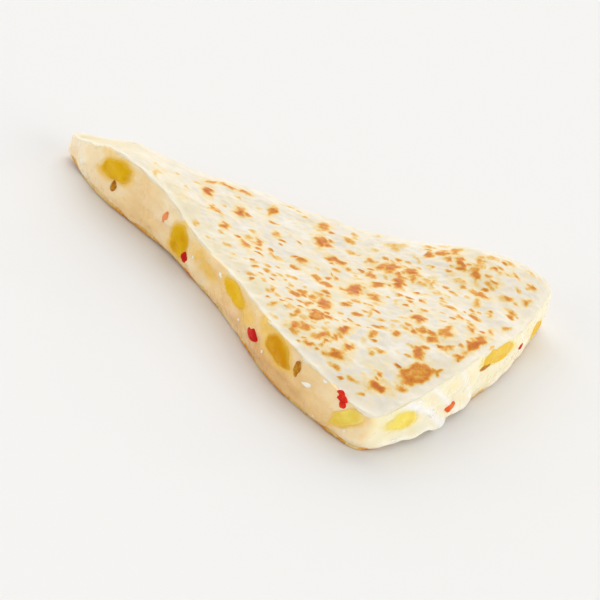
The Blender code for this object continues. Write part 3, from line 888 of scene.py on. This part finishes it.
def cheese():
    """The filling: a thin roof, the bulging sides all round, and a floor.

    The rim of the side is rounded over in two short rows above and below.
    """
    steps, count = 1300, 44
    around = np.arange(steps) / steps
    grid = np.tile(around, (count, 1))
    up = (0.5 + 0.5 * np.cos(np.linspace(0, math.pi, count)) ** 1.0)[:, None] * np.ones(steps)
    up = 0.35 * up + 0.65 * (np.linspace(1, 0, count)[:, None] * np.ones(steps))
    side = filling_side(grid, up)
    rim, out = rim_at(around)
    tuck = []
    for back, rise in ((1.6, -0.40), (0.8, -0.12), (0.3, 0.03)):
        ring = side[0].copy()
        ring[:, :2] -= back * MM * out
        ring[:, 2] += rise * MM + height(ring[:, 0], ring[:, 1]) - height(side[0][:, 0], side[0][:, 1])
        tuck.append(ring)
    under = []
    for back, drop in ((0.35, 0.04), (0.8, 0.00), (1.6, -0.20)):
        ring = side[-1].copy()
        ring[:, :2] -= back * MM * out
        ring[:, 2] += lift(ring[:, 0], ring[:, 1]) - lift(side[-1][:, 0], side[-1][:, 1]) - drop * MM
        under.append(ring)
    inner = np.linspace(0, 0.96, 6)[1:][:, None, None] ** 0.5
    flat = MIDDLE + inner * (rim - MIDDLE)
    x, y = flat[..., 0], flat[..., 1]
    roof = np.dstack((flat, (height(x, y) - TORTILLA + 0.2 * MM)[..., None]))
    floor = np.dstack((flat, (lift(x, y) + TORTILLA - 0.2 * MM)[..., None]))[::-1]
    loops = np.concatenate((roof, tuck, side, under, floor))

    lead = len(roof) + len(tuck)
    gold = np.zeros(loops.shape[:2])
    pale = np.tile(smoothstep(0.55, 0.93, out[:, 0]), (len(loops), 1))
    painted_sheen = np.zeros(loops.shape[:2])
    flat_rim = np.broadcast_to(rim, (count, steps, 2))
    tint, change = np.zeros((count, steps)), np.zeros((count, steps))
    for number in range(len(CHILES)):
        tint = np.maximum(tint, 0.9 * (1 - smoothstep(0.85, 1.40, from_chunk(number, flat_rim, up))))
    # PATCHES add to the cheese's tone its real paler and tan places, and also painted sheen and painted shade in
    # places.
    for table, total in ((SOAKED, tint), (PATCHES, change)):
        for edge, along, middle, half_along, half_up, amount in table:
            aside, close = by_place(edge, along, flat_rim)
            far = np.hypot(aside / (half_along * RADIUS), (up - middle) / half_up)
            spot = close * amount * np.exp(-(far**2))
            total[:] = np.maximum(total, spot) if table is SOAKED else total + spot
    tone = np.tile(tone_along(rim), (len(loops), 1))
    tone[lead:lead + count] += change
    gold[lead:lead + count] = tint
    white = np.zeros((count, steps))
    # Painted highlight: near-white sheen painted on the pulled folds and on the lips at the bottom, stored in the
    # sheen field.
    for edge, along, wide, _, lean, painted_sheen_share in FOLDS:
        aside, close = by_place(edge, along, flat_rim)
        far = (aside + lean * 30 * MM * (up - 0.5)) / (wide * MM / 2)
        white = np.maximum(white, close * painted_sheen_share * np.exp(-(far**2)))
    for edge, along, wide, proud in LIPS:
        aside, close = by_place(edge, along, flat_rim)
        white = np.maximum(white, close * 0.6 * np.exp(-((aside / (wide * MM)) ** 4) - ((up - 0.06) / 0.12) ** 2))
    painted_sheen[lead:lead + count] = white
    piece = shell("melted_cheese", loops, CHEESE_LOOK,
                  {"gold": gold, "paleness": pale, "painted_sheen": painted_sheen, "tone": tone}, slot="cheese")
    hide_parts("cheese_filling")


def chile_chunk(number):
    """A chunk of chile cut through with the wedge.

    Rows run from the middle of its cut face out to its outline, a boxy oval that leans and
    narrows upwards, and back along a half ball to its innermost point.  The cut face stands
    slightly out of the cheese.
    """
    _, _, wide, deep, middle, tall, slant, lean, narrow, paleness = CHILES[number]
    centre, run, facing = chunk_frame(number)
    turn = -np.linspace(0, 2 * math.pi, 80, endpoint=False)
    polar = np.concatenate((np.linspace(0, math.pi / 2, 30)[1:], np.linspace(math.pi / 2, math.pi, 16)[1:-1]))
    radius = np.sin(polar)[:, None]
    across, upright = np.cos(turn), np.sin(turn)
    edge_line = outline_waves(number, turn) / (np.abs(across) ** BOXY + np.abs(upright) ** BOXY) ** (1 / BOXY)
    side, rise = radius * edge_line * across, radius * edge_line * upright
    side = side * np.clip(1 - narrow * rise, 0.3, 2) + lean * rise
    share = middle + slant * side + tall / 2 * rise
    flat = centre + (side * wide / 2 * MM)[..., None] * run
    nearest = np.argmin(((OUTLINE[None, ::2] - flat.reshape(-1, 1, 2)) ** 2).sum(-1), axis=1) * 2
    around = (nearest / len(OUTLINE)).reshape(side.shape)
    rim, out = rim_at(around)
    low, high = filling_floor(rim[..., 0], rim[..., 1], around), filling_roof(rim[..., 0], rim[..., 1], around)
    ball = np.stack((side, rise, np.cos(polar)[:, None] + 0 * side), -1)
    uneven = 0.12 * MM * waves(ball, 1.6, 0.5, 200 + number, 40)
    face = cheese_reach(around, share, False) + CHILE_PROUD - 0.75 * MM * radius**9 + uneven * (1 - radius**8)
    inner = -(deep * MM - CHILE_SEAT) * -np.cos(polar)[:, None]
    depth = np.where(polar[:, None] <= math.pi / 2, face, face + inner)
    line = ((rim - centre) @ facing)[..., None] * facing
    place_xy = flat + line + depth[..., None] * facing
    z = low + share * (high - low)
    loops = np.dstack((place_xy, z[..., None]))
    pale = np.full(loops.shape[:2], paleness)
    skin = np.where(polar[:, None] <= math.pi / 2, smoothstep(0.70, 1.0, radius), 1.0) + 0 * pale
    piece = shell(f"chile_chunk_{number + 1}", loops, CHILE_LOOK,
                  {"paleness": pale, "skin": skin}, "green_chile")
    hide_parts(f"green_chile_{number + 1}")


# ---------------------------------------------------------------- bits on the filling
def lumps_on_side(name, rows, material, slot, sink, seed, edges=10):
    """Small uneven lumps set into the side, as one mesh.

    Each row is edge, place along it, share of the depth, width, height and thickness in mm, tone.
    Each lump is a ball stretched to its size, with waves in its radius.
    """
    polar = np.linspace(0, math.pi, 12)[1:-1][:, None]
    turn = np.linspace(0, 2 * math.pi, 18, endpoint=False)[None, :]
    ball = np.stack((np.cos(turn) * np.sin(polar), np.sin(turn) * np.sin(polar), np.cos(polar) + 0 * turn), -1)
    points, tones, groups, start = [], [], [[], []], 0
    for number, (edge, along, up, wide, tall, thick, tone) in enumerate(rows):
        around = around_of(edge, along)
        _, out = rim_at(around)
        base = filling_side(np.array([around]), np.array([up]))[0]
        run = np.array((out[1], -out[0], 0.0))
        facing = np.array((out[0], out[1], 0.0))
        shape = ball * (1 + 0.11 * waves(ball, 2.4, 0.8, seed + number, 20))[..., None]
        body = (base - facing * sink * thick * MM
                + shape[..., :1] * run * wide * MM / 2
                + shape[..., 1:2] * facing * thick * MM / 2
                + shape[..., 2:] * np.array((0, 0, 1.0)) * tall * MM / 2)
        count, steps, _ = body.shape
        points += [body.reshape(-1, 3), body[0].mean(axis=0)[None], body[-1].mean(axis=0)[None]]
        row, step = np.meshgrid(np.arange(count - 1), np.arange(steps), indexing="ij")
        after = (step + 1) % steps
        quads = np.stack((row * steps + step, (row + 1) * steps + step,
                          (row + 1) * steps + after, row * steps + after), -1).reshape(-1, 4)
        ring = np.arange(steps)
        nxt = (ring + 1) % steps
        first = np.stack((ring * 0 + count * steps, ring, nxt), -1)
        base_row = (count - 1) * steps
        last = np.stack((ring * 0 + count * steps + 1, base_row + nxt, base_row + ring), -1)
        tones += [tone] * (count * steps + 2)
        groups[0].append(quads + start)
        groups[1] += [first + start, last + start]
        start += count * steps + 2
    mesh = raw_mesh(name, np.vstack(points), [np.vstack(groups[0]), np.vstack(groups[1])], material)
    mesh.attributes.new("tone", "FLOAT", "POINT").data.foreach_set("value", np.array(tones, np.float32))
    return place(name, mesh, slot)


def bits():
    """Red pepper bits, brown flecks, and white beads that are painted glints, where they show at the cuts."""
    rng = np.random.default_rng(51)
    red = [
        ("front", 0.422, 0.32, 2.7, 2.6, 1.6, 0.0), ("front", 0.688, 0.41, 4.8, 3.4, 1.8, 0.05),
        ("front", 0.932, 1.01, 2.2, 1.7, 1.0, 0.22), ("front", 0.939, 0.94, 3.0, 2.0, 1.2, 0.22),
        ("front", 0.946, 0.86, 1.9, 2.4, 1.1, 0.22), ("front", 0.343, 0.67, 1.9, 2.8, 1.0, 1.0),
        ("outer", 0.335, 0.22, 3.4, 3.0, 1.4, 0.68),
        ("outer", 0.700, 0.60, 2.2, 2.0, 1.3, 0.2), ("back", 0.130, 0.50, 1.6, 1.9, 1.2, 0.2),
        ("back", 0.400, 0.60, 1.8, 2.6, 1.3, 0.0), ("back", 0.680, 0.35, 2.3, 1.9, 1.3, 0.5),
        ("back", 0.945, 0.55, 1.8, 2.4, 1.3, 0.3),
    ]
    lumps_on_side("red_pepper_bits", red, RED_LOOK, None, 0.22, 500)
    brown = [
        ("front", 0.190, 0.31, 2.2, 3.8, 1.0, 0), ("front", 0.831, 0.73, 2.3, 3.8, 1.0, 0),
        ("outer", 0.470, 0.72, 5.0, 1.8, 1.0, 0), ("back", 0.310, 0.30, 1.5, 1.8, 0.9, 0),
        ("back", 0.760, 0.70, 2.0, 1.2, 0.9, 0),
    ]
    lumps_on_side("brown_flecks", brown, FLECK_LOOK, None, 0.25, 600)
    # Painted highlights: white beads set where glints show on the wet cheese, plus a few scattered over the outer
    # and back sides.
    beads = [
        ("front", 0.080, 0.45, 1.6, 2.0, 0.6, 0), ("front", 0.147, 0.18, 0.5, 0.7, 0.5, 0),
        ("front", 0.372, 0.50, 0.8, 1.6, 0.5, 0), ("front", 0.445, 0.60, 0.8, 1.3, 0.5, 0),
        ("front", 0.535, 0.78, 1.7, 1.2, 0.6, 0), ("front", 0.630, 0.35, 0.8, 1.0, 0.5, 0),
        ("front", 0.740, 0.40, 0.7, 1.1, 0.5, 0), ("front", 0.858, 0.58, 3.6, 1.4, 0.7, 0),
        ("front", 0.894, 0.95, 1.6, 0.9, 0.6, 0), ("front", 0.895, 0.10, 0.8, 0.8, 0.5, 0),
        ("front", 0.965, 0.28, 0.7, 1.0, 0.5, 0), ("outer", 0.185, 0.88, 1.6, 0.9, 0.6, 0),
        ("outer", 0.240, 0.40, 1.4, 2.0, 0.6, 0), ("outer", 0.109, 0.13, 2.0, 0.8, 0.6, 0),
    ]
    for _ in range(18):
        beads.append((("outer", "back", "back")[rng.integers(3)], rng.uniform(0.3, 0.94),
                      rng.uniform(0.15, 0.9), rng.uniform(0.4, 1.3), rng.uniform(0.4, 1.0), 0.5, 0))
    lumps_on_side("painted_glint_beads", beads, PAINTED_GLINT_LOOK, None, 0.3, 700)


top_tortilla()
bottom_tortilla()
cheese()
for chunk in range(len(CHILES)):
    chile_chunk(chunk)
bits()


# ---------------------------------------------------------------- floor, light and camera
def studio():
    """A pale floor under an even white sky, and one soft key light from the right."""
    size = 4.0
    mesh = bpy.data.meshes.new("floor")
    mesh.from_pydata([(-size, -size, 0), (size, -size, 0), (size, size, 0), (-size, size, 0)], [], [(0, 1, 2, 3)])
    floor = bpy.data.objects.new("floor", mesh)
    bpy.context.scene.collection.objects.link(floor)
    pale = bpy.data.materials.new("pale_floor")
    pale.use_nodes = True
    shader = pale.node_tree.nodes["Principled BSDF"]
    shader.inputs["Base Color"].default_value = (0.855, 0.842, 0.834, 1)
    shader.inputs["Roughness"].default_value = 0.9
    shader.inputs["Specular IOR Level"].default_value = 0.1
    mesh.materials.append(pale)

    world = bpy.data.worlds.new("studio")
    world.use_nodes = True
    world.node_tree.nodes["Background"].inputs["Color"].default_value = (0.960, 0.985, 1.0, 1)
    world.node_tree.nodes["Background"].inputs["Strength"].default_value = 0.53
    bpy.context.scene.world = world
    for name, energy, angle, azimuth, elevation in (
        ("key", 1.08, 40, 0, 18), ("back", 2.05, 80, 125, 36), ("fill", 0.58, 40, -120, 18),
        ("glint_front", 0.10, 3, -155, 14), ("glint_right", 0.12, 3, 62, 14),
    ):
        light = bpy.data.lights.new(name, "SUN")
        light.energy = energy
        light.angle = math.radians(angle)
        light.color = (1.0, 0.98, 0.945)
        lamp = bpy.data.objects.new(name, light)
        turn, rise = math.radians(azimuth), math.radians(elevation)
        towards = Vector((math.cos(turn) * math.cos(rise), math.sin(turn) * math.cos(rise), math.sin(rise)))
        lamp.rotation_mode = "QUATERNION"
        lamp.rotation_quaternion = towards.to_track_quat("Z", "Y")
        bpy.context.scene.collection.objects.link(lamp)


def camera():
    """The view: from the front right and above, turned so that the wedge leans in the frame."""
    data = bpy.data.cameras.new("camera")
    data.lens, data.sensor_width = 148, 36
    data.clip_start, data.clip_end = 0.05, 20
    cam = bpy.data.objects.new("camera", data)
    azimuth, elevation, distance = math.radians(24.36), math.radians(31.52), 0.5821
    aim = Vector((77 * MM, -9 * MM, 4 * MM)) - Vector(ORIGIN)
    back = Vector((math.sin(azimuth) * math.cos(elevation), -math.cos(azimuth) * math.cos(elevation),
                   math.sin(elevation)))
    cam.location = aim + back * distance
    cam.rotation_mode = "QUATERNION"
    cam.rotation_quaternion = back.to_track_quat("Z", "Y") @ Quaternion((0, 0, 1), math.radians(17.49))
    bpy.context.scene.collection.objects.link(cam)
    bpy.context.scene.camera = cam


studio()
camera()
bpy.context.scene.view_settings.view_transform = "Standard"
